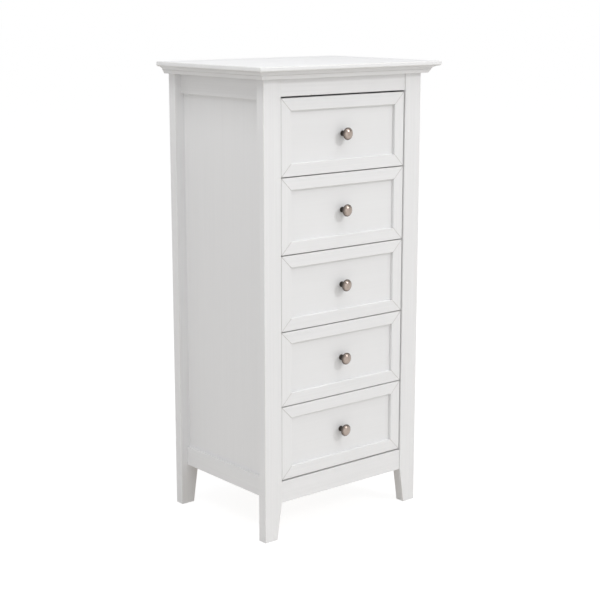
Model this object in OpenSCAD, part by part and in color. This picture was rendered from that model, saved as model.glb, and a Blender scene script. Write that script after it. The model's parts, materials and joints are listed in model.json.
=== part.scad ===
// Tall chest of drawers: a post-and-panel case with a moulded top and five
// inset drawers, each with a mitred front, one round knob and wooden runners.
// Units are millimetres. +Z is up and the drawers open towards -Y.
// The origin is on the floor, under the middle of the top.

/* [Case] */
// Height from the floor to the top face
chest_h = 1150; // [1000:10:1250]
// Width over the posts
case_w = 500; // [420:10:640]
// Depth over the posts
case_d = 380; // [330:10:460]
// Number of drawers in the column
drawer_count = 5; // [3:1:5]

/* [Top] */
// Thickness of the top board
top_t = 11; // [8:1:18]
// How far the top stands out past the posts at the front and sides
overhang = 37; // [34:1:45]
// Height of the moulded cornice frame under the top
cornice_t = 19; // [16:1:24]

/* [Posts] */
// Width of a post, seen from the front
post_w = 52; // [46:1:64]
// Depth of a post, seen from the side
post_d = 26; // [24:1:32]
// Width of a foot at the floor, after the taper on its inner side
foot_w = 38; // [28:1:44]

/* [Rails] */
// Height of the front bottom rail's lower edge above the floor
leg_clear = 92; // [70:1:120]
// Height of the bottom rail
bottom_rail_h = 54; // [44:1:70]
// Height of the visible part of the top rail
top_rail_h = 41; // [34:1:60]
// Thickness of the rails and of the drawer fronts
rail_t = 20; // [18:1:22]
// How far the rails and the drawer fronts stand back from the posts' front face
setback = 3; // [1:1:6]

/* [Sides] */
// Height of the side bottom rail's lower edge above the floor
side_leg_clear = 106; // [90:1:130]
// Height of each side rail
side_rail_h = 49; // [40:1:60]
// How far the side rails stand in from the posts' outer face
side_rail_in = 18; // [10:1:20]
// How far the side panels stand in from the posts' outer face
side_panel_in = 27; // [24:1:27]
// Thickness of the side and back panels
panel_t = 6; // [4:1:6]

/* [Drawers] */
// Gap between two drawer fronts
reveal = 2.5; // [2:0.5:4]
// Gap above the top drawer front and below the bottom one
outer_reveal = 4; // [3:0.5:6]
// Gap at each end of a drawer front
end_reveal = 2.5; // [2:0.5:4]
// Width of the mitred frame around each drawer's panel
frame_w = 30; // [24:1:40]
// Width of the bevel on the frame's inner edge
bevel_w = 1; // [0.5:0.5:6]
// Depth of the bevel where it meets the panel
bevel_d = 1; // [0.5:0.5:4]
// Depth of the panel's face behind the frame's face
recess = 7.5; // [5:0.5:9]
// Height of the drawer box
box_h = 140; // [100:5:145]
// Thickness of the drawer box's sides and back
box_t = 12; // [12:1:15]
// Diameter of the knob's head
knob_d = 30; // [24:1:36]
// How far the knob stands out from the panel
knob_out = 28; // [25:1:32]

/* [Hidden] */
$fn = 64;

case_nodes = [
    "top_board", "cornice_front", "cornice_left", "cornice_right",
    "post_front_left", "post_front_right", "post_rear_left", "post_rear_right",
    "front_top_rail", "front_bottom_rail", "rear_top_rail", "rear_bottom_rail",
    "side_top_rail_left", "side_top_rail_right",
    "side_bottom_rail_left", "side_bottom_rail_right",
    "side_panel_left", "side_panel_right", "back_panel",
    "bearers_left", "bearers_right", "runners_left", "runners_right",
    "case_dowels", "case_screws"
];
drawer_pieces = ["frame", "panel", "sides", "back", "bottom", "knob", "knob_screw"];

// Clearance of a panel in its groove
groove_fit = 0.2;
// Depth of the grooves that hold panels
groove_d = 8;
// Fine open line left between two mitred ends of a drawer's frame
mitre_line = 0.1;

// Planes of the case
half_w = case_w / 2;
front_y = (overhang - case_d) / 2;
rear_y = front_y + case_d;
post_h = chest_h - top_t - cornice_t;
post_in = half_w - post_w;
rear_post_y = rear_y - post_d;

// Planes of the drawer fronts
face_y = front_y + setback;
front_back_y = face_y + rail_t;
panel_y = face_y + recess;
bay_top = post_h - top_rail_h;
bay_bottom = leg_clear + bottom_rail_h;
bay_fill = bay_top - bay_bottom - 2 * outer_reveal - (drawer_count - 1) * reveal;
front_h = bay_fill / drawer_count;
front_w = 2 * (post_in - end_reveal);

// Side rails and panels
side_top_z = post_h - side_rail_h;
side_rail_x = half_w - side_rail_in - rail_t;
side_panel_x = half_w - side_panel_in - panel_t;

// Back: the panel lies on the rear rails and runs in grooves in the posts
back_panel_y = rear_y - 10;
rear_rail_t = back_panel_y - rear_post_y;
back_panel_lap = 8;

// Runners: a bearer between the posts carries a batten that fills the box's groove
bearer_h = 40;
bearer_w = side_panel_x - post_in;
runner_w = 12;
runner_h = 16;
runner_start_y = front_back_y + 1;

// Drawer box
box_gap = 5;
box_lift = 12;
box_out = post_in - box_gap;
box_in = box_out - box_t;
box_end_y = rear_post_y - 14;
box_groove_d = runner_w - box_gap + 0.5;
box_groove_h = runner_h + 1;
bottom_t = 5;
bottom_lift = 8;
bottom_groove_d = 6;

// Fasteners
dowel_r = 4;
dowel_len = 32;
dowel_fit = 0.1;
screw_r = 1.75;
screw_head_r = 3.5;
screw_head_t = 2;
back_screw_len = 18;
top_screw_len = cornice_t + top_t - 4;
knob_screw_r = 1.95;
knob_screw_fit = 0.25;
knob_screw_head_r = 4;
knob_screw_head_t = 2.5;
knob_bore_depth = 12;
knob_bore_r = knob_screw_r + 0.05;

// Cornice outline, measured outwards from the posts' face
cove_top_out = overhang - 4;
cove_foot_out = 17.5;
bead_top_out = 18.5;
bead_foot_out = 12.5;
bead_h = cornice_t / 2;
cove_lip = 1;

// Knob outline
knob_foot_r = 7;
knob_foot_t = 2.5;
knob_neck_r = 5.5;
knob_rim_t = 1.5;
knob_dome_h = 7.5;
knob_flare_h = 8;
knob_dome_r = (pow(knob_d / 2, 2) + pow(knob_dome_h, 2)) / (2 * knob_dome_h);

white_paint = [0.92, 0.92, 0.90];
natural_wood = [0.85, 0.74, 0.58];
pewter = [0.52, 0.48, 0.44];
steel = [0.75, 0.75, 0.77];

// Lower edge of drawer front i, counted from the top
function front_z(i) = bay_bottom + outer_reveal + (drawer_count - i) * (front_h + reveal);

// Centre height of drawer i's runners
function runner_z(i) = front_z(i) + box_lift + box_h / 2;

// Two dowel heights in a rail from z0, h high
function rail_pins(z0, h) = [z0 + 0.28 * h, z0 + 0.74 * h];

// Dowel centres as [x, y, z, turn], on the joints between rails and posts
end_turn = [0, 90, 0];
side_turn = [90, 0, 0];
front_rail_dowels = [
    for (s = [-1, 1])
        for (z = concat(rail_pins(leg_clear, bottom_rail_h), rail_pins(bay_top, top_rail_h)))
            [s * post_in, face_y + rail_t / 2, z, end_turn]
];
rear_rail_dowels = [
    for (s = [-1, 1])
        for (z = concat(rail_pins(leg_clear, bottom_rail_h), rail_pins(bay_top, top_rail_h)))
            [s * post_in, rear_post_y + rear_rail_t / 2, z, end_turn]
];
side_rail_dowels = [
    for (s = [-1, 1])
        for (y = [front_y + post_d, rear_post_y])
            for (z = concat(
                rail_pins(side_leg_clear, side_rail_h - groove_d),
                rail_pins(side_top_z + groove_d, side_rail_h - groove_d)
            ))
                [s * (side_rail_x + rail_t / 2), y, z, side_turn]
];
bearer_dowels = [
    for (s = [-1, 1])
        for (y = [front_y + post_d, rear_post_y])
            for (i = [1 : drawer_count])
                [s * (post_in + bearer_w / 2), y, runner_z(i), side_turn]
];
all_dowels = concat(front_rail_dowels, rear_rail_dowels, side_rail_dowels, bearer_dowels);

// Screws through the back panel into the rear rails, as [x, z]
back_screws = [
    for (x = [-0.75, -0.25, 0.25, 0.75])
        for (z = [leg_clear + bottom_rail_h / 2, bay_top + top_rail_h / 2])
            [x * post_in, z]
];

// Screws up through the cornice frame into the top board, as [x, y]
top_screw_in = post_w - 8;
top_screws = concat(
    [for (x = [-0.6, 0, 0.6]) [x * half_w, front_y + top_screw_in]],
    [
        for (s = [-1, 1])
            for (y = [0, 0.5])
                [s * (half_w - top_screw_in), y * rear_y]
    ]
);

// A box given by its lowest and highest corners
module block(low, high) {
    translate(low) cube(high - low);
}

// The same shape on the left (-X) side
module left_hand() {
    mirror([1, 0, 0]) children();
}

// Dowels, or the holes for them with a wider radius
module dowels(places, r) {
    for (d = places)
        translate([d[0], d[1], d[2]])
            rotate(d[3])
                cylinder(h = dowel_len, r = r, center = true);
}

module dowel_holes(places) {
    dowels(places, dowel_r + dowel_fit);
}

// Shank of a screw from its seat, pointing along +Z
module shank(len, r) {
    cylinder(h = len, r = r);
}

module top_board() {
    color(white_paint) difference() {
        block(
            [-half_w - overhang, front_y - overhang, chest_h - top_t],
            [half_w + overhang, rear_y, chest_h]
        );
        top_screw_shanks();
    }
}

// The cornice's cross section: a cove over a small bead, with a flat inner part.
// x is the distance out from the posts' face and y is the height.
// The cove is an arc that starts level under a thin lip and ends on the bead.
module cornice_outline() {
    cove_top = cornice_t - cove_lip;
    run = cove_top_out - cove_foot_out;
    rise = cove_top - bead_h;
    cove_r = (run * run + rise * rise) / (2 * rise);
    polygon([
        [-post_w, 0], [bead_foot_out, 0], [bead_top_out, bead_h], [-post_w, bead_h]
    ]);
    difference() {
        polygon([
            [-post_w, bead_h], [cove_foot_out, bead_h],
            [cove_top_out, cove_top], [cove_top_out, cornice_t], [-post_w, cornice_t]
        ]);
        translate([cove_top_out, cove_top - cove_r]) circle(r = cove_r);
    }
}

// Plan of one cornice piece, cut at 45 degrees where two pieces meet
module cornice_plan(points) {
    translate([0, 0, post_h]) linear_extrude(cornice_t) polygon(points);
}

module top_screw_shanks() {
    for (p = top_screws)
        translate([p[0], p[1], post_h]) shank(top_screw_len, screw_r);
}

module cornice_front() {
    out = half_w + cove_top_out;
    color(white_paint) difference() {
        intersection() {
            translate([0, front_y, post_h])
                rotate([90, 0, -90])
                    linear_extrude(2 * out, center = true) cornice_outline();
            cornice_plan([
                [-out, front_y - cove_top_out], [out, front_y - cove_top_out],
                [post_in, front_y + post_w], [-post_in, front_y + post_w]
            ]);
        }
        top_screw_shanks();
    }
}

module cornice_side() {
    out = half_w + cove_top_out;
    difference() {
        intersection() {
            translate([half_w, rear_y, post_h])
                rotate([90, 0, 0])
                    linear_extrude(case_d + cove_top_out) cornice_outline();
            cornice_plan([
                [out, front_y - cove_top_out], [out, rear_y],
                [post_in, rear_y], [post_in, front_y + post_w]
            ]);
        }
        top_screw_shanks();
    }
}

module cornice_right() {
    color(white_paint) cornice_side();
}

module cornice_left() {
    color(white_paint) left_hand() cornice_side();
}

// A right-hand post with its foot tapered on the inner side, its front at y0
module post_blank(y0) {
    translate([half_w, y0 + post_d, 0])
        rotate([90, 0, 0])
            linear_extrude(post_d)
                polygon([
                    [0, 0], [0, post_h], [-post_w, post_h],
                    [-post_w, leg_clear], [-foot_w, 0]
                ]);
}

module post_front() {
    difference() {
        post_blank(front_y);
        side_panel_space();
        dowel_holes([for (d = all_dowels) if (d[0] > 0 && d[1] < 0) d]);
    }
}

module post_rear() {
    difference() {
        post_blank(rear_post_y);
        side_panel_space();
        back_panel_space();
        dowel_holes([for (d = all_dowels) if (d[0] > 0 && d[1] > 0) d]);
    }
}

module post_front_right() {
    color(white_paint) post_front();
}

module post_front_left() {
    color(white_paint) left_hand() post_front();
}

module post_rear_right() {
    color(white_paint) post_rear();
}

module post_rear_left() {
    color(white_paint) left_hand() post_rear();
}

// The right side panel, or the grooves for it with a little more room
module side_panel_shape(room) {
    block(
        [
            side_panel_x - room,
            front_y + post_d - groove_d - room,
            side_leg_clear + side_rail_h - groove_d - room
        ],
        [
            side_panel_x + panel_t + room,
            rear_post_y + groove_d + room,
            side_top_z + groove_d + room
        ]
    );
}

module side_panel_space() {
    side_panel_shape(groove_fit);
}

module side_panel_right() {
    color(white_paint) side_panel_shape(0);
}

module side_panel_left() {
    color(white_paint) left_hand() side_panel_shape(0);
}

// A right side rail from z0, grooved for the panel and drilled for its dowels
module side_rail(z0) {
    difference() {
        block(
            [side_rail_x, front_y + post_d, z0],
            [side_rail_x + rail_t, rear_post_y, z0 + side_rail_h]
        );
        side_panel_space();
        dowel_holes([for (d = side_rail_dowels) if (d[0] > 0) d]);
    }
}

module side_top_rail_right() {
    color(white_paint) side_rail(side_top_z);
}

module side_top_rail_left() {
    color(white_paint) left_hand() side_rail(side_top_z);
}

module side_bottom_rail_right() {
    color(white_paint) side_rail(side_leg_clear);
}

module side_bottom_rail_left() {
    color(white_paint) left_hand() side_rail(side_leg_clear);
}

// A front rail between the posts, from z0 to z1
module front_rail(z0, z1) {
    color(white_paint) difference() {
        block([-post_in, face_y, z0], [post_in, front_back_y, z1]);
        dowel_holes(front_rail_dowels);
    }
}

module front_top_rail() {
    front_rail(bay_top, post_h);
}

module front_bottom_rail() {
    front_rail(leg_clear, bay_bottom);
}

// A rear rail between the posts, with the back panel screwed to its back face
module rear_rail(z0, z1) {
    color(white_paint) difference() {
        block([-post_in, rear_post_y, z0], [post_in, back_panel_y, z1]);
        dowel_holes(rear_rail_dowels);
        back_screw_shanks();
    }
}

// The top one runs up to the top board and closes the cornice frame at the back
module rear_top_rail() {
    rear_rail(bay_top, chest_h - top_t);
}

module rear_bottom_rail() {
    rear_rail(leg_clear, bay_bottom);
}

module back_panel_shape(room) {
    block(
        [-post_in - groove_d - room, back_panel_y, leg_clear + back_panel_lap - room],
        [post_in + groove_d + room, back_panel_y + panel_t + room, post_h + room]
    );
}

module back_panel_space() {
    back_panel_shape(groove_fit);
}

module back_screw_shanks() {
    for (p = back_screws)
        translate([p[0], back_panel_y + panel_t, p[1]])
            rotate([90, 0, 0])
                shank(back_screw_len, screw_r);
}

module back_panel() {
    color(white_paint) difference() {
        back_panel_shape(0);
        back_screw_shanks();
    }
}

// One bearer per drawer, between the posts and flat against the side panel
module bearers() {
    difference() {
        for (i = [1 : drawer_count])
            block(
                [post_in, front_y + post_d, runner_z(i) - bearer_h / 2],
                [side_panel_x, rear_post_y, runner_z(i) + bearer_h / 2]
            );
        dowel_holes([for (d = bearer_dowels) if (d[0] > 0) d]);
    }
}

module bearers_right() {
    color(natural_wood) bearers();
}

module bearers_left() {
    color(natural_wood) left_hand() bearers();
}

// One hardwood runner per drawer, on the bearer's inner face
module runners() {
    for (i = [1 : drawer_count])
        block(
            [post_in - runner_w, runner_start_y, runner_z(i) - runner_h / 2],
            [post_in, rear_post_y, runner_z(i) + runner_h / 2]
        );
}

module runners_right() {
    color(natural_wood) runners();
}

module runners_left() {
    color(natural_wood) left_hand() runners();
}

module case_dowels() {
    color(natural_wood) dowels(all_dowels, dowel_r);
}

// A pan-head screw with its head below z = 0 and its shank along +Z
module wood_screw(len) {
    translate([0, 0, -screw_head_t]) cylinder(h = screw_head_t, r = screw_head_r);
    shank(len, screw_r);
}

module case_screws() {
    color(steel) {
        for (p = back_screws)
            translate([p[0], back_panel_y + panel_t, p[1]])
                rotate([90, 0, 0])
                    wood_screw(back_screw_len);
        for (p = top_screws)
            translate([p[0], p[1], post_h]) wood_screw(top_screw_len);
    }
}

// A frame member's cross section, with its face on x = 0 and its outer edge on y = 0
module member_outline() {
    polygon([
        [0, 0], [rail_t, 0], [rail_t, frame_w],
        [bevel_d, frame_w], [0, frame_w - bevel_w]
    ]);
}

// A frame member along +X with mitred ends, its outer edge on z = 0
module mitred_member(len) {
    start = mitre_line / 2;
    end = len - mitre_line / 2;
    intersection() {
        rotate([90, 0, 90]) linear_extrude(len) member_outline();
        translate([0, rail_t, 0])
            rotate([90, 0, 0])
                linear_extrude(rail_t)
                    polygon([
                        [start, 0], [end, 0],
                        [end - frame_w, frame_w], [start + frame_w, frame_w]
                    ]);
    }
}

// The panel inside the frame, or the groove for it with a little more room
module drawer_panel_shape(i, room) {
    reach = front_w / 2 - frame_w + groove_d + room;
    block(
        [-reach, panel_y - room, front_z(i) + frame_w - groove_d - room],
        [reach, panel_y + panel_t + room, front_z(i) + front_h - frame_w + groove_d + room]
    );
}

module drawer_frame(i) {
    color(white_paint) difference() {
        for (s = [0, 1]) {
            translate([-front_w / 2, face_y, front_z(i) + s * front_h])
                mirror([0, 0, s]) mitred_member(front_w);
            mirror([s, 0, 0])
                translate([front_w / 2, face_y, front_z(i)])
                    rotate([0, -90, 0])
                        mitred_member(front_h);
        }
        drawer_panel_shape(i, groove_fit);
    }
}

module drawer_panel(i) {
    color(white_paint) difference() {
        drawer_panel_shape(i, 0);
        at_knob(i)
            translate([0, 0, -panel_t - 1])
                cylinder(h = panel_t + 2, r = knob_screw_r + knob_screw_fit);
    }
}

// The two sides of the box, grooved outside for the runners and inside for the bottom
module drawer_sides(i) {
    z0 = front_z(i) + box_lift;
    color(natural_wood)
        for (s = [0, 1])
            mirror([s, 0, 0])
                difference() {
                    block([box_in, front_back_y, z0], [box_out, box_end_y, z0 + box_h]);
                    block(
                        [box_out - box_groove_d, front_back_y - 1, runner_z(i) - box_groove_h / 2],
                        [box_out + 1, box_end_y + 1, runner_z(i) + box_groove_h / 2]
                    );
                    drawer_bottom_shape(i, groove_fit);
                }
}

module drawer_back(i) {
    z0 = front_z(i) + box_lift;
    color(natural_wood)
        block(
            [-box_in, box_end_y - box_t, z0 + bottom_lift + bottom_t],
            [box_in, box_end_y, z0 + box_h - bottom_t]
        );
}

module drawer_bottom_shape(i, room) {
    z0 = front_z(i) + box_lift + bottom_lift;
    reach = box_in + bottom_groove_d + room;
    block([-reach, front_back_y, z0 - room], [reach, box_end_y + room, z0 + bottom_t + room]);
}

module drawer_bottom(i) {
    color(natural_wood) drawer_bottom_shape(i, 0);
}

// Places children at the middle of panel i's face, with +Z pointing out of it
module at_knob(i) {
    translate([0, panel_y, front_z(i) + front_h / 2]) rotate([90, 0, 0]) children();
}

// Half of the knob's cross section: foot, neck, flared back, rim and domed face
module knob_outline() {
    head_r = knob_d / 2;
    rim_z = knob_out - knob_dome_h - knob_rim_t;
    square([knob_foot_r, knob_foot_t]);
    square([knob_neck_r, rim_z]);
    polygon([
        [0, rim_z - knob_flare_h], [knob_neck_r, rim_z - knob_flare_h],
        [head_r, rim_z], [head_r, rim_z + knob_rim_t], [0, rim_z + knob_rim_t]
    ]);
    intersection() {
        translate([0, knob_out - knob_dome_r]) circle(r = knob_dome_r);
        translate([0, rim_z]) square([head_r, knob_dome_h + knob_rim_t]);
    }
}

module drawer_knob(i) {
    color(pewter)
        at_knob(i)
            difference() {
                rotate_extrude() knob_outline();
                translate([0, 0, -1]) cylinder(h = knob_bore_depth + 1, r = knob_bore_r);
            }
}

module drawer_knob_screw(i) {
    color(steel)
        at_knob(i)
            translate([0, 0, -panel_t]) {
                translate([0, 0, -knob_screw_head_t])
                    cylinder(h = knob_screw_head_t, r = knob_screw_head_r);
                shank(panel_t + knob_bore_depth - 1, knob_screw_r);
            }
}

top_board();
cornice_front();
cornice_left();
cornice_right();
post_front_left();
post_front_right();
post_rear_left();
post_rear_right();
front_top_rail();
front_bottom_rail();
rear_top_rail();
rear_bottom_rail();
side_top_rail_left();
side_top_rail_right();
side_bottom_rail_left();
side_bottom_rail_right();
side_panel_left();
side_panel_right();
back_panel();
bearers_left();
bearers_right();
runners_left();
runners_right();
case_dowels();
case_screws();
for (i = [1 : drawer_count]) {
    drawer_frame(i);
    drawer_panel(i);
    drawer_sides(i);
    drawer_back(i);
    drawer_bottom(i);
    drawer_knob(i);
    drawer_knob_screw(i);
}
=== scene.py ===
import json
from math import cos, pi, radians, sin

import bpy
import numpy as np
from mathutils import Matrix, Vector

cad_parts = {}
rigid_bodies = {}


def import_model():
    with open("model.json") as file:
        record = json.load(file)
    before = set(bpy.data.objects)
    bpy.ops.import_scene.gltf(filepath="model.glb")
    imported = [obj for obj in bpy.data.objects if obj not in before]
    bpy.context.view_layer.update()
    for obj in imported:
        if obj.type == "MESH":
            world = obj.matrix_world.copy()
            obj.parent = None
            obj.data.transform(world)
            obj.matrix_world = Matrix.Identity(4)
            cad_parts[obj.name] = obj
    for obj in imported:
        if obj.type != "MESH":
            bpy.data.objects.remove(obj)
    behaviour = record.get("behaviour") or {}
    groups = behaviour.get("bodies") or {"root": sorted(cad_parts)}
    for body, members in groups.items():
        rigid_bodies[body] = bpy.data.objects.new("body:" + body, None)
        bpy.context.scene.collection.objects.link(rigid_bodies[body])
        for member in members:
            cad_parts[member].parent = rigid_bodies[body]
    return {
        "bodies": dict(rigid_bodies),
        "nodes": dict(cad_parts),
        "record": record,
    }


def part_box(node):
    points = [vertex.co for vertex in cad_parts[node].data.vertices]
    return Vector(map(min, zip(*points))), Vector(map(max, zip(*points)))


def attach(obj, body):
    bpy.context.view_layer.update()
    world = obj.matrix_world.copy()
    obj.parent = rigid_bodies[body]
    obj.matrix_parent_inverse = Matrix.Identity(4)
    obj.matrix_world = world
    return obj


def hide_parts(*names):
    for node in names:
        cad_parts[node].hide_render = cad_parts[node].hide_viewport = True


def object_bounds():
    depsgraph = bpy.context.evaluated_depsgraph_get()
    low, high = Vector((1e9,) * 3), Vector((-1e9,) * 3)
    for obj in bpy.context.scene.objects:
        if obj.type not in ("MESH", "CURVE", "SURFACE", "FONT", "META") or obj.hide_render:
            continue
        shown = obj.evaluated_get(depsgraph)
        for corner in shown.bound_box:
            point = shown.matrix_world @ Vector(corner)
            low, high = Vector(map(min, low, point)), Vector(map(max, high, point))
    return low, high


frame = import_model()
cad_low, cad_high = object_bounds()


# ------------------------------------------------------------------ Posts
# Four square posts of close-grained hardwood, sprayed satin white. Each is sawn
# from one length; its foot is tapered on the inner side and its long edges are
# eased by hand before the paint goes on.

MM = 0.001
X, Y, Z = 0, 1, 2
POST_EASE = 1.5 * MM
POST_SIDE_EASE = 1.05 * POST_EASE
TAPER_SOFTENING = 0.8 * MM


def soft_outline(corners, radii, steps=4):
    """A closed outline, given anticlockwise, with each corner turned into an arc.

    Where the outward normals before and after corner V are a and b, the arc's
    centre is V - r (a + b) / (1 + a.b), and its points lie r from there along
    the direction that swings evenly from a to b. A hollow corner has r < 0.
    Returns the points, their normals and how far each is round a raised arris.
    """
    corners = np.asarray(corners, float)
    run = np.roll(corners, -1, axis=0) - corners
    run /= np.linalg.norm(run, axis=1)[:, None]
    after = np.stack([run[:, 1], -run[:, 0]], axis=1)
    before = np.roll(after, 1, axis=0)
    facing = (before * after).sum(axis=1)
    swing = np.arctan2(before[:, 0] * after[:, 1] - before[:, 1] * after[:, 0], facing)
    share = np.linspace(0, 1, steps + 1)
    angle = np.arctan2(before[:, 1], before[:, 0])[:, None] + swing[:, None] * share
    normals = np.stack([np.cos(angle), np.sin(angle)], axis=2)
    radii = np.broadcast_to(np.asarray(radii, float), len(corners))[:, None]
    centres = corners - radii * (before + after) / (1 + facing)[:, None]
    points = centres[:, None] + radii[:, None] * normals
    arris = np.where(swing > 0, 1.0, 0.0)[:, None] * np.sin(pi * share)
    return points.reshape(-1, 2), normals.reshape(-1, 2), arris.reshape(-1)


def soft_rectangle(low, high, radius):
    """The outline of a rectangle from its low to its high corner, corners eased."""
    corners = [(low[0], low[1]), (high[0], low[1]), (high[0], high[1]), (low[0], high[1])]
    return soft_outline(corners, radius)


def eased_prism(outline, span, ease, along, cuts=()):
    """A solid of one cross section along an axis, with its end edges rounded.

    The ring at angle p of an end's quarter-round is the outline drawn in by
    ease (1 - cos p), standing ease (1 - sin p) short of that end. The outline's
    two axes are the ones that follow `along` in the order x, y, z, x, y.
    """
    flat, out, arris = outline
    quarter = np.linspace(0, pi / 2, 5)
    short = ease * (1 - np.sin(quarter))
    place = np.concatenate([span[0] + short[::-1], cuts, span[1] - short])
    angle = np.concatenate([-quarter[::-1], np.zeros(len(cuts)), quarter])[:, None, None]
    drawn = flat - ease * (1 - np.cos(angle)) * out
    height = np.broadcast_to(place[:, None, None], drawn.shape[:2] + (1,))
    rise = np.broadcast_to(np.sin(angle), height.shape)
    order = np.roll(np.arange(3), along + 1)
    points = np.concatenate([drawn, height], axis=2)[..., order]
    normals = np.concatenate([np.cos(angle) * out, rise], axis=2)[..., order]
    worn = np.maximum(arris * np.cos(angle[..., 0]), np.abs(np.sin(2 * angle[..., 0])))
    rings, count = drawn.shape[:2]
    index = np.arange(rings * count).reshape(rings, count)
    ahead = np.roll(index, -1, axis=1)
    quads = np.stack([index[:-1], ahead[:-1], ahead[1:], index[1:]], axis=2)
    return {
        "points": points.reshape(-1, 3),
        "normals": normals.reshape(-1, 3),
        "arris": worn.reshape(-1),
        "faces": quads.reshape(-1, 4).tolist() + [index[0, ::-1].tolist(), index[-1].tolist()],
    }


def slid(solid, axis, shift, slope):
    """The solid with each point moved by `shift` along one axis.

    slope is the shift's rate of change along x, y and z, none of it along the
    axis itself, so a normal n turns to n - slope times its part along the axis.
    """
    points = solid["points"].copy()
    points[:, axis] += shift
    normals = solid["normals"] - slope * solid["normals"][:, axis, None]
    normals /= np.linalg.norm(normals, axis=1)[:, None]
    return {**solid, "points": points, "normals": normals}


def mirrored(solid):
    """The same solid on the other side of x = 0, its faces turned to stay outward."""
    flip = np.array([-1, 1, 1])
    return {
        **solid,
        "points": solid["points"] * flip,
        "normals": solid["normals"] * flip,
        "faces": [face[::-1] for face in solid["faces"]],
    }


def made(name, solids, material, **marks):
    """One mesh object of several closed solids, shaded by their worked-out normals.

    Each mark is a number per point that the material reads; arris is always one.
    """
    firsts = np.cumsum([0] + [len(solid["points"]) for solid in solids])
    faces = [
        [first + corner for corner in face]
        for first, solid in zip(firsts.tolist(), solids)
        for face in solid["faces"]
    ]
    mesh = bpy.data.meshes.new(name)
    mesh.from_pydata(np.concatenate([s["points"] for s in solids]).tolist(), [], faces)
    mesh.shade_smooth()
    marks["arris"] = np.concatenate([s["arris"] for s in solids])
    for mark, values in marks.items():
        attribute = mesh.attributes.new(mark, "FLOAT", "POINT")
        attribute.data.foreach_set("value", np.asarray(values, np.float32))
    mesh.normals_split_custom_set_from_vertices(np.concatenate([s["normals"] for s in solids]))
    mesh.materials.append(material)
    piece = bpy.data.objects.new(name, mesh)
    bpy.context.scene.collection.objects.link(piece)
    return piece


class Reading:
    """A value inside a finish. Arithmetic on it adds the matching Math nodes."""

    def __init__(self, finish, socket):
        self.finish = finish
        self.socket = socket

    def math(self, operation, *values, **settings):
        return self.finish.node(
            "Math", {"operation": operation, **settings}, dict(enumerate(values))
        )

    def __add__(self, other):
        return self.math("ADD", self, other)

    def __sub__(self, other):
        return self.math("SUBTRACT", self, other)

    def __rsub__(self, other):
        return self.math("SUBTRACT", other, self)

    def __mul__(self, other):
        return self.math("MULTIPLY", self, other)

    def limited(self):
        return self.math("ADD", self, 0.0, use_clamp=True)

    __radd__ = __add__
    __rmul__ = __mul__


class Finish:
    """A material, or the surround, being mixed from nodes.

    node() adds any node: its type, its settings, then its sockets.
    """

    def __init__(self, owner):
        owner.use_nodes = True
        self.owner = owner
        self.tree = owner.node_tree
        self.tree.nodes.clear()

    def node(self, kind, settings=None, sockets=None, output=0):
        node = self.tree.nodes.new("ShaderNode" + kind)
        for key, value in (settings or {}).items():
            if key == "stops":
                while len(node.color_ramp.elements) < len(value):
                    node.color_ramp.elements.new(1)
                for element, (position, colour) in zip(node.color_ramp.elements, value):
                    element.position = position
                    element.color = (*colour, 1)
            else:
                setattr(node, key, value)
        for key, value in (sockets or {}).items():
            if isinstance(value, Reading):
                self.tree.links.new(value.socket, node.inputs[key])
            else:
                node.inputs[key].default_value = value
        return Reading(self, node.outputs[output]) if node.outputs else None

    def place(self, scale=(1, 1, 1), turned=None):
        """The point on the piece, in metres, times scale along each axis.

        Where the mark `turned` is 1, x and z change places, for upright members.
        """
        point = self.node("TexCoord", output="Object")
        if turned:
            x, y, z = (self.node("SeparateXYZ", {}, {0: point}, axis) for axis in (X, Y, Z))
            swapped = self.node("CombineXYZ", {}, {0: z, 1: y, 2: x})
            mark = self.node("Attribute", {"attribute_name": turned}, output="Fac")
            point = self.node(
                "Mix", {"data_type": "VECTOR"}, {0: mark, 4: point, 5: swapped}, output=1
            )
        return self.node("Mapping", {"vector_type": "POINT"}, {"Vector": point, "Scale": scale})

    def noise(self, place, detail=3.0, roughness=0.55, distortion=0.0):
        return self.node(
            "TexNoise",
            {},
            {
                "Vector": place,
                "Scale": 1.0,
                "Detail": detail,
                "Roughness": roughness,
                "Distortion": distortion,
            },
        )

    def mark(self, name):
        return self.node("Attribute", {"attribute_name": name}, output="Fac")

    def between(self, value, low, high):
        """0 below low, 1 above high, and a smooth rise from one to the other."""
        return self.node(
            "MapRange",
            {"interpolation_type": "SMOOTHSTEP"},
            {"Value": value, "From Min": low, "From Max": high},
        )

    def blend(self, share, first, second):
        """The first colour where share is 0, and the second where it is 1."""
        first, second = (
            colour if isinstance(colour, Reading) else (*colour, 1) for colour in (first, second)
        )
        return self.node(
            "Mix", {"data_type": "RGBA"}, {0: share, 6: first, 7: second}, output=2
        )

    def finished(self, bump, relief, **sockets):
        """Ends the material in a shader, with `bump` as heights in `relief` metres."""
        normal = self.node("Bump", {}, {"Height": bump, "Distance": relief, "Strength": 1.0})
        named = {key.replace("_", " "): value for key, value in sockets.items()}
        shader = self.node("BsdfPrincipled", {}, {**named, "Normal": normal})
        self.node("OutputMaterial", {}, {"Surface": shader})
        return self.owner


def grain_scale(grain, length, width):
    """Scale for a pattern `length` long along the grain axis and `width` across it."""
    scale = np.full(3, 1 / width)
    scale[grain] = 1 / length
    return tuple(scale)


PAINT = (0.828, 0.83, 0.835)
PAINT_SHADE = (0.763, 0.765, 0.77)
PAINT_THIN = (0.71, 0.70, 0.675)
PAINT_SEAM = (0.44, 0.42, 0.39)
PAINT_RELIEF = 0.08 * MM
PEEL_PER_METRE = 420
# Length along the grain and width across it, in metres
BROAD_STREAK = (0.60, 0.016)
FINE_STREAK = (0.30, 0.0036)
PORE = (0.014, 0.0007)


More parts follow.
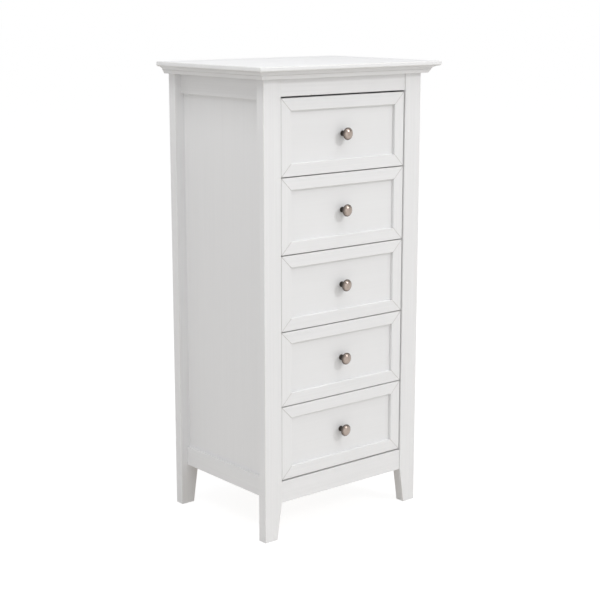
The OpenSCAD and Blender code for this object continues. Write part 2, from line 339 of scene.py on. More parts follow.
def satin_paint(name, grain, turned=None, streaks=1.0, marked=True, seamed=False):
    """White satin paint, through which the wood's grain just shows.

    Long soft streaks change the tone, pores and fibres lift the film a little,
    and the paint is thinner and smoother on the arrises. Where the mark `seam`
    rises to 1 a joint is open under the film and holds a little dust.
    """
    finish = Finish(bpy.data.materials.new(name))
    broad = finish.noise(finish.place(grain_scale(grain, *BROAD_STREAK), turned), 1.0)
    streak = finish.noise(finish.place(grain_scale(grain, *FINE_STREAK), turned), 3.0, 0.55)
    pores = finish.noise(finish.place(grain_scale(grain, *PORE), turned), 2.0, 0.7)
    peel = finish.noise(finish.place((PEEL_PER_METRE,) * 3), 1.0)
    pits = finish.between(pores, 0.56, 0.72)
    tone = (0.5 + streaks * (0.45 * broad + 1.05 * streak - 0.75)).limited()
    colour = finish.blend(tone, PAINT_SHADE, PAINT)
    roughness = 0.40 + 0.10 * broad + 0.08 * streak
    if marked:
        worn = 0.8 * finish.mark("arris") * finish.between(streak + 0.5 * peel, 0.55, 0.9)
        colour = finish.blend(worn, colour, PAINT_THIN)
        roughness = roughness - 0.10 * worn
    if seamed:
        open_joint = finish.mark("seam") * (0.65 + 0.35 * peel)
        colour = finish.blend(open_joint.limited(), colour, PAINT_SEAM)
    height = 0.6 * streak + 0.25 * peel - 0.5 * pits
    return finish.finished(
        height, PAINT_RELIEF, Base_Color=colour, Roughness=roughness, Specular_IOR_Level=0.45
    )


paint_upright = satin_paint("satin_paint_grain_upright", Z)
post_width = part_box("post_front_right")[1].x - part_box("post_front_right")[0].x
foot_mount = next(m for m in frame["record"]["mounts"] if m["name"] == "foot_front_right")
foot_width = 2 * (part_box("post_front_right")[1].x - foot_mount["pos_m"][0])
taper_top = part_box("front_bottom_rail")[0].z
taper_slope = (post_width - foot_width) / taper_top

for end in ("front", "rear"):
    low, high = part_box(f"post_{end}_right")
    post = eased_prism(
        soft_rectangle((low.x, low.y), (high.x, high.y), POST_SIDE_EASE),
        (low.z, high.z),
        POST_EASE,
        Z,
        cuts=(taper_top - TAPER_SOFTENING, taper_top + TAPER_SOFTENING),
    )
    inner = post["points"][:, X] < (low.x + high.x) / 2
    short = np.clip(taper_top - post["points"][:, Z], 0, None) * inner
    lean = np.zeros_like(post["points"])
    lean[:, Z] = -taper_slope * (short > 0)
    post = slid(post, X, taper_slope * short, lean)
    for side, shape in (("right", post), ("left", mirrored(post))):
        piece = made(f"painted_post_{end}_{side}", [shape], paint_upright)
        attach(piece, "case")
        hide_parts(f"post_{end}_{side}")


# ------------------------------------------------- Front and rear cross rails
# Solid rails dowelled between the posts, above and below the drawers and behind
# them. The front ones stand a little back from the posts' face, and each joint
# shows as a fine line under the paint.

RAIL_EASE = 1.0 * MM
JOINT_EASE = 0.3 * MM

paint_lengthwise = satin_paint("satin_paint_grain_lengthwise", X)
for rail in ("front_top_rail", "front_bottom_rail", "rear_top_rail", "rear_bottom_rail"):
    low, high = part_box(rail)
    shape = eased_prism(
        soft_rectangle((low.y, low.z), (high.y, high.z), RAIL_EASE),
        (low.x, high.x),
        JOINT_EASE,
        X,
    )
    piece = made("painted_" + rail, [shape], paint_lengthwise)
    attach(piece, "case")
    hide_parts(rail)


# ------------------------------------------------------ Side rails and panels
# Each side is a flat panel held in grooves between two rails and two posts. The
# panel floats in its groove and is painted with the rest; its grain runs upright.

paint_front_to_back = satin_paint("satin_paint_grain_front_to_back", Y)
paint_panel_upright = satin_paint("satin_paint_side_panel", Z, streaks=0.6, marked=False)
for side in ("left", "right"):
    for rail in (f"side_top_rail_{side}", f"side_bottom_rail_{side}"):
        low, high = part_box(rail)
        shape = eased_prism(
            soft_rectangle((low.z, low.x), (high.z, high.x), RAIL_EASE),
            (low.y, high.y),
            JOINT_EASE,
            Y,
        )
        piece = made("painted_" + rail, [shape], paint_front_to_back)
        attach(piece, "case")
        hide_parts(rail)
    frame["nodes"][f"side_panel_{side}"].data.materials.clear()
    frame["nodes"][f"side_panel_{side}"].data.materials.append(paint_panel_upright)


# ------------------------------------------------------------------ Back panel
# A thin sheet of white-faced board, let into the rear posts and screwed to the
# rear rails. Its factory face is smoother and duller than the sprayed paint.

BOARD_WHITE = (0.80, 0.80, 0.79)
BOARD_SHADE = (0.74, 0.735, 0.72)
BOARD_RELIEF = 0.08 * MM
BOARD_FIBRE = (0.03, 0.0012)
PEBBLE_PER_METRE = 900


def faced_board(name):
    """White-faced board: a fine even pebble, with slow cloudy changes of tone."""
    finish = Finish(bpy.data.materials.new(name))
    pebble = finish.noise(finish.place((PEBBLE_PER_METRE,) * 3), 2.0, 0.6)
    cloud = finish.noise(finish.place((7, 7, 3)), 3.0, 0.5)
    fibre = finish.noise(finish.place(grain_scale(Z, *BOARD_FIBRE)), 3.0, 0.6)
    tone = (0.8 * cloud + 0.3 * fibre - 0.05).limited()
    colour = finish.blend(tone, BOARD_SHADE, BOARD_WHITE)
    return finish.finished(
        0.7 * pebble + 0.3 * fibre,
        BOARD_RELIEF,
        Base_Color=colour,
        Roughness=0.52 + 0.12 * cloud,
        Specular_IOR_Level=0.35,
    )


board_face = faced_board("white_faced_board")
frame["nodes"]["back_panel"].data.materials.clear()
frame["nodes"]["back_panel"].data.materials.append(board_face)


# ------------------------------------------------------------------- Top board
# One flat board, glued up lengthwise, with its edges eased all round. It stands
# out past the posts at the front and sides and is flush with them at the back.

TOP_EASE = 3.0 * MM
TOP_LONG_EASE = 1.05 * TOP_EASE

paint_top = satin_paint("satin_paint_top_board", X)
low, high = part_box("top_board")
shape = eased_prism(
    soft_rectangle((low.y, low.z), (high.y, high.z), TOP_LONG_EASE),
    (low.x, high.x),
    TOP_EASE,
    X,
)
piece = made("painted_top_board", [shape], paint_top)
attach(piece, "case")
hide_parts("top_board")


# --------------------------------------------------------------------- Cornice
# A moulding run under the top at the front and both sides: a cove above a small
# bead, mitred at the front corners. The frame behind it carries the top board.

BEAD_FOOT_OUT = 12.5 * MM
BEAD_TOP_OUT = 18.5 * MM
COVE_FOOT_OUT = 17.5 * MM
COVE_LIP = 1.0 * MM
COVE_SHARE = 0.98
MITRE_EASE = 0.25 * MM
MITRE_MARGIN = 2.0 * MM

post_face_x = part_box("post_front_right")[1].x
post_face_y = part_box("post_front_right")[0].y
cornice_low, cornice_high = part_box("cornice_right")
cornice_height = cornice_high.z - cornice_low.z
cove_top_out = cornice_high.x - post_face_x
inner_out = cornice_low.x - post_face_x
cove_top = cornice_height - COVE_LIP
cove_run = cove_top_out - COVE_FOOT_OUT
cove_rise = cove_top - cornice_height / 2
cove_radius = (cove_run**2 + cove_rise**2) / (2 * cove_rise)
# The cove's two end tangents meet level with its top
cove_reach = cove_radius * np.tan(np.arctan2(cove_run, cove_radius - cove_rise) / 2)

# Across the moulding: distance out from the posts' face, then height. The cove's
# rounding is hollow and a little under its full radius, so it ends inside its run
cornice_outline = soft_outline(
    [
        (inner_out, 0),
        (BEAD_FOOT_OUT, 0),
        (BEAD_TOP_OUT, cornice_height / 2),
        (COVE_FOOT_OUT, cornice_height / 2),
        (cove_top_out - cove_reach, cove_top),
        (cove_top_out, cove_top),
        (cove_top_out, cornice_height),
        (inner_out, cornice_height),
    ],
    np.array([0.4, 1.0, 0.6, -0.3, -COVE_SHARE * cove_radius / MM, 0.35, 0.35, 0.4]) * MM,
    steps=8,
)


def mitred_run(outline, ends, mitres, ease):
    """An outline along one run, in axes out, up and along.

    Where a mitre is 1 that end is cut at 45 degrees, so that a point `out` from
    zero lies `out` further along; where it is -1, `out` less far along.
    """
    cuts = (ends[0] + MITRE_MARGIN, ends[1] - MITRE_MARGIN)
    run = eased_prism(outline, ends, ease, Z, cuts)
    side = np.sign(run["points"][:, Z] - sum(ends) / 2)
    cut = np.where(side < 0, mitres[0], mitres[1]) * side
    slope = np.zeros_like(run["points"])
    slope[:, X] = cut
    return slid(run, Z, cut * run["points"][:, X], slope)


def set_out(run, out, up, along, origin):
    """Places a solid by the directions of its three axes, from an origin."""
    turn = np.array([out, up, along], float)
    return {
        **run,
        "points": run["points"] @ turn + np.array(origin),
        "normals": run["normals"] @ turn,
    }


rear_y = cornice_high.y
side_run = mitred_run(cornice_outline, (-rear_y, -post_face_y), (0, 1), MITRE_EASE)
right_run = set_out(side_run, (1, 0, 0), (0, 0, 1), (0, -1, 0), (post_face_x, 0, cornice_low.z))
front_run = set_out(
    mitred_run(cornice_outline, (-post_face_x, post_face_x), (1, 1), MITRE_EASE),
    (0, -1, 0),
    (0, 0, 1),
    (-1, 0, 0),
    (0, post_face_y, cornice_low.z),
)
for node, shape, material in (
    ("cornice_front", front_run, paint_lengthwise),
    ("cornice_right", right_run, paint_front_to_back),
    ("cornice_left", mirrored(right_run), paint_front_to_back),
):
    piece = made("painted_" + node, [shape], material)
    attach(piece, "case")
    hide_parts(node)


# ------------------------------------------------- Bearers, runners and dowels
# Pale hardwood, planed and left bare inside the case. Each drawer hangs on two
# runners, one on each bearer, and every rail is held to its posts by dowels.

WOOD_LIGHT = (0.74, 0.57, 0.37)
WOOD_DARK = (0.58, 0.41, 0.24)
WOOD_PORE = (0.36, 0.23, 0.12)
WOOD_RELIEF = 0.18 * MM
WOOD_BAND_LENGTH = 0.55
WOOD_FIBRE = (0.09, 0.0011)
OPEN_PORE = (0.010, 0.0005)
CASE_BAND = 0.011
DOWEL_BAND = 0.004


def bare_wood(name, grain, band_width, marked=False):
    """Planed pale wood: wavy growth bands, fine fibres and short dark pores."""
    finish = Finish(bpy.data.materials.new(name))
    bands = finish.noise(
        finish.place(grain_scale(grain, WOOD_BAND_LENGTH, band_width)), 3.0, 0.5, distortion=0.8
    )
    fibre = finish.noise(finish.place(grain_scale(grain, *WOOD_FIBRE)), 4.0, 0.65)
    pores = finish.noise(finish.place(grain_scale(grain, *OPEN_PORE)), 1.0)
    dark = finish.between(bands, 0.42, 0.66)
    pits = finish.between(pores, 0.62, 0.74)
    colour = finish.blend((0.75 * dark + 0.35 * fibre - 0.1).limited(), WOOD_LIGHT, WOOD_DARK)
    colour = finish.blend(0.45 * pits, colour, WOOD_PORE)
    roughness = 0.52 + 0.16 * fibre
    if marked:
        rubbed = finish.mark("arris")
        colour = finish.blend(0.3 * rubbed, colour, WOOD_LIGHT)
        roughness = roughness - 0.08 * rubbed
    return finish.finished(
        0.5 * fibre + 0.3 * dark - 0.6 * pits,
        WOOD_RELIEF,
        Base_Color=colour,
        Roughness=roughness,
        Specular_IOR_Level=0.4,
    )


wood_front_to_back = bare_wood("bare_wood_grain_front_to_back", Y, CASE_BAND)
dowel_wood = bare_wood("bare_wood_dowels", X, DOWEL_BAND)
for node, material in (
    ("bearers_left", wood_front_to_back),
    ("bearers_right", wood_front_to_back),
    ("runners_left", wood_front_to_back),
    ("runners_right", wood_front_to_back),
    ("case_dowels", dowel_wood),
):
    frame["nodes"][node].data.materials.clear()
    frame["nodes"][node].data.materials.append(material)


# -------------------------------------------------------------- Drawer fronts
# Four members, mitred at the corners and glued round a flat panel that stands
# back from their face. Their inner edge is lightly bevelled, and the mitres show
# as fine dusty lines in the paint.

MITRE_GAP = 0.08 * MM
MITRE_ROUND = 0.6 * MM
SEAM_WIDTH = 0.8 * MM
GROOVE_DEPTH = 8.0 * MM
BEVEL_WIDTH = 1.0 * MM
BEVEL_DEPTH = 1.0 * MM
MEMBER_EASES = np.array([1.1, 0.8, 0.8, 0.8, 0.9]) * MM

paint_front = satin_paint("satin_paint_drawer_frame", X, turned="upright", seamed=True)
paint_front_panel = satin_paint("satin_paint_drawer_panel", X, streaks=0.4, marked=False)
drawers = [body for body in frame["bodies"] if body.startswith("drawer_")]
low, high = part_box("drawer_1_frame")
member_width = high.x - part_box("drawer_1_panel")[1].x + GROOVE_DEPTH
member_thickness = high.y - low.y

# Across a member: distance in from its outer edge, then distance back from its face
member_outline = soft_outline(
    [
        (0, 0),
        (member_width - BEVEL_WIDTH, 0),
        (member_width, BEVEL_DEPTH),
        (member_width, member_thickness),
        (0, member_thickness),
    ],
    MEMBER_EASES,
)


def front_members(low, high):
    """The frame's rails then its stiles, each with how near its points are to a mitre."""
    middle = (low + high) / 2
    members, seams = [], []
    for across, along, start, length in (
        ((0, 0, 1), (-1, 0, 0), (middle.x, low.y, low.z), high.x - low.x),
        ((0, 0, -1), (1, 0, 0), (middle.x, low.y, high.z), high.x - low.x),
        ((1, 0, 0), (0, 0, 1), (low.x, low.y, middle.z), high.z - low.z),
        ((-1, 0, 0), (0, 0, -1), (high.x, low.y, middle.z), high.z - low.z),
    ):
        half = length / 2 - MITRE_GAP
        run = mitred_run(member_outline, (-half, half), (-1, -1), MITRE_ROUND)
        from_mitre = half - run["points"][:, X] - np.abs(run["points"][:, Z])
        seams.append(np.clip(1 - from_mitre / SEAM_WIDTH, 0, 1))
        members.append(set_out(run, across, (0, 1, 0), along, start))
    return members, np.concatenate(seams)


for drawer in drawers:
    members, seam = front_members(*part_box(f"{drawer}_frame"))
    upright = np.repeat([0.0, 0.0, 1.0, 1.0], [len(member["points"]) for member in members])
    piece = made(f"{drawer}_mitred_front", members, paint_front, upright=upright, seam=seam)
    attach(piece, drawer)
    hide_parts(f"{drawer}_frame")
    frame["nodes"][f"{drawer}_panel"].data.materials.clear()
    frame["nodes"][f"{drawer}_panel"].data.materials.append(paint_front_panel)


# --------------------------------------------------------------- Drawer boxes
# Bare pale wood. The sides are grooved outside for the runners and rounded along
# the top, the back drops between them, and a thin bottom slides in from behind.

SIDE_TOP_EASE = 3.0 * MM
BOX_EASE = 0.6 * MM
BOX_END_EASE = 0.25 * MM
BACK_EASE = 2.0 * MM
GROOVE_ROOM = 0.5 * MM
GROOVE_HALF_HEIGHT = 8.5 * MM
GROOVE_EASE = 0.3 * MM
BOX_BAND = 0.016
BOTTOM_BAND = 0.03

wood_box_side = bare_wood("bare_wood_drawer_sides", Y, BOX_BAND, marked=True)
wood_box_back = bare_wood("bare_wood_drawer_backs", X, BOX_BAND, marked=True)
wood_box_bottom = bare_wood("bare_wood_drawer_bottoms", X, BOTTOM_BAND)
for drawer in drawers:
    low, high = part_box(f"{drawer}_sides")
    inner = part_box(f"{drawer}_back")[1].x
    runner_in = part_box("runners_right")[0].x - GROOVE_ROOM
    middle = (low.z + high.z) / 2
    outline = soft_outline(
        [
            (low.z, inner),
            (high.z, inner),
            (high.z, high.x),
            (middle + GROOVE_HALF_HEIGHT, high.x),
            (middle + GROOVE_HALF_HEIGHT, runner_in),
            (middle - GROOVE_HALF_HEIGHT, runner_in),
            (middle - GROOVE_HALF_HEIGHT, high.x),
            (low.z, high.x),
        ],
        [
            BOX_EASE,
            SIDE_TOP_EASE,
            SIDE_TOP_EASE,
            BOX_EASE,
            -GROOVE_EASE,
            -GROOVE_EASE,
            BOX_EASE,
            BOX_EASE,
        ],
    )
    right = eased_prism(outline, (low.y, high.y), BOX_END_EASE, Y)
    piece = made(f"{drawer}_box_sides", [right, mirrored(right)], wood_box_side)
    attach(piece, drawer)
    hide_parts(f"{drawer}_sides")

    low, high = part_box(f"{drawer}_back")
    shape = eased_prism(
        soft_rectangle((low.y, low.z), (high.y, high.z), BACK_EASE),
        (low.x, high.x),
        BOX_END_EASE,
        X,
    )
    piece = made(f"{drawer}_box_back", [shape], wood_box_back)
    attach(piece, drawer)
    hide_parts(f"{drawer}_back")
    frame["nodes"][f"{drawer}_bottom"].data.materials.clear()
    frame["nodes"][f"{drawer}_bottom"].data.materials.append(wood_box_bottom)


# ---------------------------------------------------------------------- Knobs
# Turned knobs in antique pewter: a small foot, a slim neck that flares behind
# the rim, and a domed face rubbed brighter than the neck, with painted shade
# darkening the face towards its rim. A screw from inside the drawer holds each one.

PEWTER_BRIGHT = (0.56, 0.475, 0.42)
PEWTER_DULL = (0.27, 0.215, 0.18)
PEWTER_DARK = (0.035, 0.029, 0.024)
PEWTER_RELIEF = 0.05 * MM
RINGS_PER_METRE = 5200.0
KNOB_SPOKES = 96
KNOB_FOOT_RADIUS = 7.0 * MM
KNOB_FOOT_HEIGHT = 2.5 * MM
KNOB_NECK_RADIUS = 5.5 * MM
KNOB_FLARE = 8.0 * MM
KNOB_RIM = 1.5 * MM
KNOB_DOME = 7.5 * MM
# The share of the face, from its middle, left without the painted rim shade
KNOB_UNSHADED_FACE = 0.55


def turned(outline, spokes):
    """A solid turned about an axis from a half outline of radius and height.

    The outline runs from the bottom of the axis round to its top. Point i of
    ring j lies at radius r_j, at an angle of i whole shares of a turn, at height
    h_j, and a single point closes each end.
    """
    flat, out, arris = outline
    flat, out, arris = (part[1:-1] for part in (flat, out, arris))
    angle = np.arange(spokes) * 2 * pi / spokes
    around = np.stack([np.cos(angle), np.sin(angle)], axis=1)
    ring = flat[:, None, :1] * around
    points = np.concatenate([ring, np.broadcast_to(flat[:, None, 1:], ring.shape[:2] + (1,))], 2)
    lean = out[:, None, :1] * around
    normals = np.concatenate([lean, np.broadcast_to(out[:, None, 1:], ring.shape[:2] + (1,))], 2)
    ends = np.array([[0, 0, outline[0][0, 1]], [0, 0, outline[0][-1, 1]]])
    rings = len(flat)
    index = np.arange(rings * spokes).reshape(rings, spokes)
    ahead = np.roll(index, -1, axis=1)
    quads = np.stack([index[:-1], ahead[:-1], ahead[1:], index[1:]], axis=2).reshape(-1, 4)
    bottom = np.stack([np.full(spokes, rings * spokes), ahead[0], index[0]], axis=1)
    top = np.stack([np.full(spokes, rings * spokes + 1), index[-1], ahead[-1]], axis=1)
    return {
        "points": np.concatenate([points.reshape(-1, 3), ends]),
        "normals": np.concatenate([normals.reshape(-1, 3), [[0, 0, -1], [0, 0, 1]]]),
        "arris": np.concatenate([np.repeat(arris, spokes), [0, 0]]),
        "faces": quads.tolist() + bottom.tolist() + top.tolist(),
    }


def half_outline(corners, radii, steps):
    """soft_outline of a turned piece, less the points that would lie along its axis."""
    flat, out, arris = soft_outline(corners, radii, steps)
    keep = slice(steps, len(flat) - steps)
    return flat[keep], out[keep], arris[keep]


def antique_pewter(name):
    """Cast pewter, turned and darkened, then rubbed back on the raised parts; the face also carries
    painted shade towards its rim.

    The mark `toned` is 1 in the neck, where it is patina; on the
    face it is painted shade, falling away from the rim to 0 on the middle of the
    face. Fine rings follow the mark `turning`, the distance along the outline in metres.
    """
    finish = Finish(bpy.data.materials.new(name))
    toned = finish.mark("toned")
    rings = finish.noise(
        finish.node("CombineXYZ", {}, {0: finish.mark("turning") * RINGS_PER_METRE}), 3.0, 0.7
    )
    cloud = finish.noise(finish.place((160, 160, 160)), 4.0, 0.6)
    speck = finish.noise(finish.place((900, 900, 900)), 2.0, 0.6)
    # Lower in the neck's patina and in the painted shade at the face's rim
    rubbed = (1.05 - 1.1 * toned + 0.5 * (cloud - 0.5) + 0.2 * finish.mark("arris")).limited()
    colour = finish.blend((0.75 * cloud + 0.3 * speck).limited(), PEWTER_DULL, PEWTER_BRIGHT)
    colour = finish.blend(rubbed, PEWTER_DARK, colour)
    return finish.finished(
        0.5 * rings + 0.3 * speck + 0.4 * cloud,
        PEWTER_RELIEF,
        Base_Color=colour,
        Metallic=0.35 + 0.65 * rubbed,
        Roughness=0.50 - 0.20 * rubbed + 0.12 * (cloud - 0.5) + 0.06 * (rings - 0.5),
    )


pewter = antique_pewter("antique_pewter")
for drawer in drawers:
    low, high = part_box(f"{drawer}_knob")
    head_radius = (high.x - low.x) / 2
    stand = high.y - low.y
    rim_low = stand - KNOB_DOME - KNOB_RIM
    rim_high = stand - KNOB_DOME
    dome_radius = (head_radius**2 + KNOB_DOME**2) / (2 * KNOB_DOME)
    dome_reach = dome_radius * np.tan(np.arcsin(head_radius / dome_radius) / 2)
    outline = half_outline(
        [
            (0, 0),
            (KNOB_FOOT_RADIUS, 0),
            (KNOB_FOOT_RADIUS, KNOB_FOOT_HEIGHT),
            (KNOB_NECK_RADIUS, KNOB_FOOT_HEIGHT),
            (KNOB_NECK_RADIUS, rim_low - KNOB_FLARE),
            (head_radius, rim_low),
            (head_radius, rim_high),
            (dome_reach, stand),
            (0, stand),
        ],
        np.array([0, 0.3, 0.7, -0.7, -6.0, 0.7, 0.7, 18.0, 0]) * MM,
        steps=12,
    )
    knob = turned(outline, KNOB_SPOKES)
    height = knob["points"][:, Z]
    radius = np.hypot(knob["points"][:, X], knob["points"][:, Y])
    along = np.concatenate([[0], np.cumsum(np.hypot(*np.diff(outline[0], axis=0).T))])
    turning = np.concatenate([np.repeat(along[1:-1], KNOB_SPOKES), along[[0, -1]]])
    depth = np.clip((rim_low - height) / KNOB_FLARE, 0, 1)
    narrow = np.clip((head_radius - radius) / (head_radius - KNOB_NECK_RADIUS), 0, 1)
    neck_toning = np.clip(0.7 + 0.5 * depth * narrow, 0, 1)
    # Painted shade: the face darkens towards its rim, standing in for the shade where the dome turns
    # away
    outer_face = (radius / head_radius - KNOB_UNSHADED_FACE) / (1 - KNOB_UNSHADED_FACE)
    face_rim_shade = 0.85 * np.clip(outer_face, 0, 1)
    toned = np.where(height < rim_low, neck_toning, face_rim_shade)
    seat = (low.x + high.x) / 2, high.y, (low.z + high.z) / 2
    knob = set_out(knob, (1, 0, 0), (0, 0, 1), (0, -1, 0), seat)
    piece = made(f"{drawer}_turned_knob", [knob], pewter, toned=toned, turning=turning)
    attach(piece, drawer)
    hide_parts(f"{drawer}_knob")


# --------------------------------------------------------------------- Screws
# Zinc-plated screws with domed heads and a cross recess: eight through the back
# panel, seven up into the top board, and one into each knob.

ZINC_LIGHT = (0.66, 0.67, 0.68)
ZINC_DARK = (0.42, 0.42, 0.43)
ZINC_RELIEF = 0.03 * MM
HEAD_RIM = 0.5 * MM
SCREW_SPOKES = 48
SLOT_HALF_WIDTH = 0.25 * MM
SLOT_SLOPE = 0.30 * MM
SLOT_REACH = 1.3 * MM
SLOT_FADE = 0.7 * MM
SLOT_DEPTH = 0.9 * MM
WOOD_SCREW_HEAD_RADIUS = 3.5 * MM
WOOD_SCREW_HEAD_HEIGHT = 2 * MM
WOOD_SCREW_SHANK_RADIUS = 1.75 * MM
BACK_SCREW_LENGTH = 18 * MM
TOP_SCREW_LENGTH = 26 * MM
TOP_SCREW_INSET = 8 * MM
KNOB_SCREW_HEAD_RADIUS = 4 * MM
KNOB_SCREW_HEAD_HEIGHT = 2.5 * MM
KNOB_SCREW_SHANK_RADIUS = 1.95 * MM
KNOB_SCREW_LENGTH = 17 * MM


def zinc_plate(name):
    """Bright zinc plating: cloudy tone, fine scuffs and a worn shine."""
    finish = Finish(bpy.data.materials.new(name))
    cloud = finish.noise(finish.place((320, 320, 320)), 4.0, 0.6)
    scuff = finish.noise(finish.place((2600, 900, 1400)), 2.0, 0.6)
    colour = finish.blend((cloud + 0.4 * scuff - 0.2).limited(), ZINC_DARK, ZINC_LIGHT)
    return finish.finished(
        scuff + 0.5 * cloud,
        ZINC_RELIEF,
        Base_Color=colour,
        Metallic=1.0,
        Roughness=0.28 + 0.2 * cloud,
    )


def cross_recess(x, y):
    """Depth of the cross cut at a place on the head.

    Two slots cross at the middle. Each has sloping sides and fades out at its
    ends, so the depth falls with the smaller and the larger of |x| and |y|.
    """
    narrow, reach = np.sort(np.abs(np.stack([x, y])), axis=0)
    slot = 1 - np.clip((narrow - SLOT_HALF_WIDTH) / SLOT_SLOPE, 0, 1)
    fade = 1 - np.clip((reach - SLOT_REACH) / SLOT_FADE, 0, 1)
    return SLOT_DEPTH * slot * fade


def screw(head_radius, head_height, shank_radius, length):
    """A screw with its seat on z = 0, the head above and the shank below."""
    dome_height = head_height - HEAD_RIM
    dome_radius = (head_radius**2 + dome_height**2) / (2 * dome_height)
    dome_reach = dome_radius * np.tan(np.arcsin(head_radius / dome_radius) / 2)
    outline = half_outline(
        [
            (0, -length),
            (shank_radius, -length),
            (shank_radius, 0),
            (head_radius, 0),
            (head_radius, HEAD_RIM),
            (dome_reach, head_height),
            (0, head_height),
        ],
        np.array([0, 0.8 * shank_radius, -0.05 * MM, 0.1 * MM, 0.15 * MM, 0.95 * dome_radius, 0]),
        steps=12,
    )
    solid = turned(outline, SCREW_SPOKES)
    x, y, z = solid["points"].T
    step = 0.02 * MM
    slope = np.zeros_like(solid["points"])
    slope[:, X] = (cross_recess(x - step, y) - cross_recess(x + step, y)) / (2 * step)
    slope[:, Y] = (cross_recess(x, y - step) - cross_recess(x, y + step)) / (2 * step)
    on_face = z > HEAD_RIM
    return slid(solid, Z, -cross_recess(x, y) * on_face, slope * on_face[:, None])


zinc = zinc_plate("zinc_plate")
rail_middles = [
    (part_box(rail)[0].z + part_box(rail)[1].z) / 2 for rail in ("rear_bottom_rail", "front_top_rail")
]
panel_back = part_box("back_panel")[1].y
half_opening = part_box("front_top_rail")[1].x
screw_line = post_width - TOP_SCREW_INSET
lengthwise = [(x * post_face_x, post_face_y + screw_line) for x in (-0.6, 0, 0.6)]
sideways = [(s * (post_face_x - screw_line), y * rear_y) for s in (-1, 1) for y in (0, 0.5)]
wood_screw = WOOD_SCREW_HEAD_RADIUS, WOOD_SCREW_HEAD_HEIGHT, WOOD_SCREW_SHANK_RADIUS
back_screw = screw(*wood_screw, BACK_SCREW_LENGTH)
top_screw = screw(*wood_screw, TOP_SCREW_LENGTH)
screws = [
    set_out(back_screw, (-1, 0, 0), (0, 0, 1), (0, 1, 0), (x * half_opening, panel_back, z))
    for x in (-0.75, -0.25, 0.25, 0.75)
    for z in rail_middles
]
screws += [
    set_out(top_screw, (1, 0, 0), (0, -1, 0), (0, 0, -1), (x, y, cornice_low.z))
    for x, y in lengthwise + sideways
]
piece = made("case_cross_head_screws", screws, zinc)
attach(piece, "case")
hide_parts("case_screws")

knob_screw = screw(
    KNOB_SCREW_HEAD_RADIUS, KNOB_SCREW_HEAD_HEIGHT, KNOB_SCREW_SHANK_RADIUS, KNOB_SCREW_LENGTH
)
for drawer in drawers:
    low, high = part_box(f"{drawer}_knob_screw")
    seat = (low.x + high.x) / 2, high.y - KNOB_SCREW_HEAD_HEIGHT, (low.z + high.z) / 2
    piece = made(
        f"{drawer}_cross_head_screw",
        [set_out(knob_screw, (-1, 0, 0), (0, 0, 1), (0, 1, 0), seat)],
        zinc,
    )
    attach(piece, drawer)
    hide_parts(f"{drawer}_knob_screw")


# ------------------------------------------------------ Floor, light and camera
# A white studio floor that glows into the white surround, over a warm one that
# only throws light back up. Soft lights hang overhead, at the left and in front,
# and a smaller key light at the upper right casts the knobs' shadows.

FLOOR_TONE = 0.22
FLOOR_GLOW = 0.90
WARM_TONE = (0.70, 0.675, 0.64)
FLOOR_REACH = 60.0
FLOOR_STEP = 1.0 * MM
FLOOR_RELIEF = 0.1 * MM


def wide_floor(name, height, tone, glow):
    """A square floor of one matt tone, centred under the chest."""
    corners = np.array([(-1, -1, 0), (1, -1, 0), (1, 1, 0), (-1, 1, 0)]) * FLOOR_REACH
    mesh = bpy.data.meshes.new(name)
    mesh.from_pydata((corners + (0, 0, height)).tolist(), [], [(0, 1, 2, 3)])
    finish = Finish(bpy.data.materials.new(name + "_paint"))
    cloud = finish.noise(finish.place((6, 6, 6)), 2.0)
    material = finish.finished(
        cloud,
        FLOOR_RELIEF,
        Base_Color=(*tone, 1),
        Roughness=0.8 + 0.1 * cloud,
        Specular_IOR_Level=0.0,
        Emission_Color=(1, 1, 1, 1),
        Emission_Strength=glow,
    )
    mesh.materials.append(material)
    floor = bpy.data.objects.new(name, mesh)
    bpy.context.scene.collection.objects.link(floor)
    return floor


white_floor = wide_floor("studio_floor", 0, (FLOOR_TONE,) * 3, FLOOR_GLOW)
white_floor.visible_diffuse = False
white_floor.visible_shadow = False
warm_floor = wide_floor("studio_under_floor", -FLOOR_STEP, WARM_TONE, 0)
warm_floor.visible_camera = False
warm_floor.visible_glossy = False

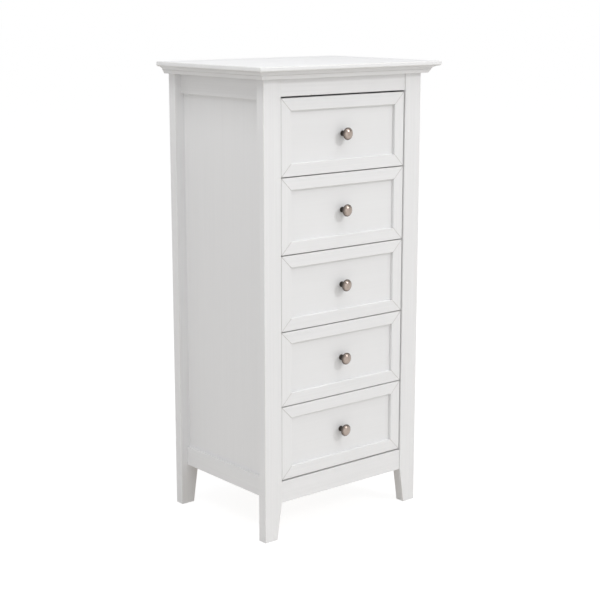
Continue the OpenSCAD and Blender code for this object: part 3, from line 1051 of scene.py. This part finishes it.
# The surround, by the height of the direction looked in: white round the horizon
# and dimmer above
SURROUND_STOPS = [(0.61, (1.0, 1.0, 1.0)), (0.68, (0.40, 0.40, 0.405))]

surround = Finish(bpy.data.worlds.new("studio_surround"))
height = surround.node(
    "SeparateXYZ", {}, {0: surround.node("TexCoord", output="Generated")}, output="Z"
)
tone = surround.node("ValToRGB", {"stops": SURROUND_STOPS}, {0: 0.5 + 0.5 * height})
glow = surround.node("Background", {}, {"Color": tone})
surround.node("OutputWorld", {}, {"Surface": glow})
bpy.context.scene.world = surround.owner

middle = (cad_low + cad_high) / 2


def soft_light(name, place, size, power):
    """A square soft light aimed at the middle of the chest."""
    light = bpy.data.lights.new(name, "AREA")
    light.size = size
    light.energy = power
    lamp = bpy.data.objects.new(name, light)
    lamp.location = place
    lamp.rotation_euler = (middle - Vector(place)).to_track_quat("-Z", "Y").to_euler()
    bpy.context.scene.collection.objects.link(lamp)


soft_light("overhead_light", (0.3, -1.3, 3.6), 2.0, 28)
soft_light("left_light", (-1.5, -0.3, 3.0), 1.0, 23)
soft_light("front_light", (-1.4, -5.0, 1.8), 2.4, 12)
soft_light("key_light", (2.8, -6.3, 5.4), 1.4, 175)

TURN, TILT = radians(-39.54), radians(12.14)
DISTANCE = 3.598
LENS_LENGTH, SENSOR_WIDTH = 83.7, 36
AIM_OFFSET = (0.0155, 0.0185)
AIM_HEIGHT = 0.5406
aim = Vector((middle.x + AIM_OFFSET[0], middle.y + AIM_OFFSET[1], AIM_HEIGHT))
back = Vector((sin(TURN) * cos(TILT), -cos(TURN) * cos(TILT), sin(TILT)))
camera_data = bpy.data.cameras.new("camera")
camera_data.lens = LENS_LENGTH
camera_data.sensor_width = SENSOR_WIDTH
camera = bpy.data.objects.new("camera", camera_data)
camera.location = aim + back * DISTANCE
camera.rotation_euler = (-back).to_track_quat("-Z", "Y").to_euler()
bpy.context.scene.collection.objects.link(camera)
bpy.context.scene.camera = camera
bpy.context.scene.view_settings.view_transform = "Standard"
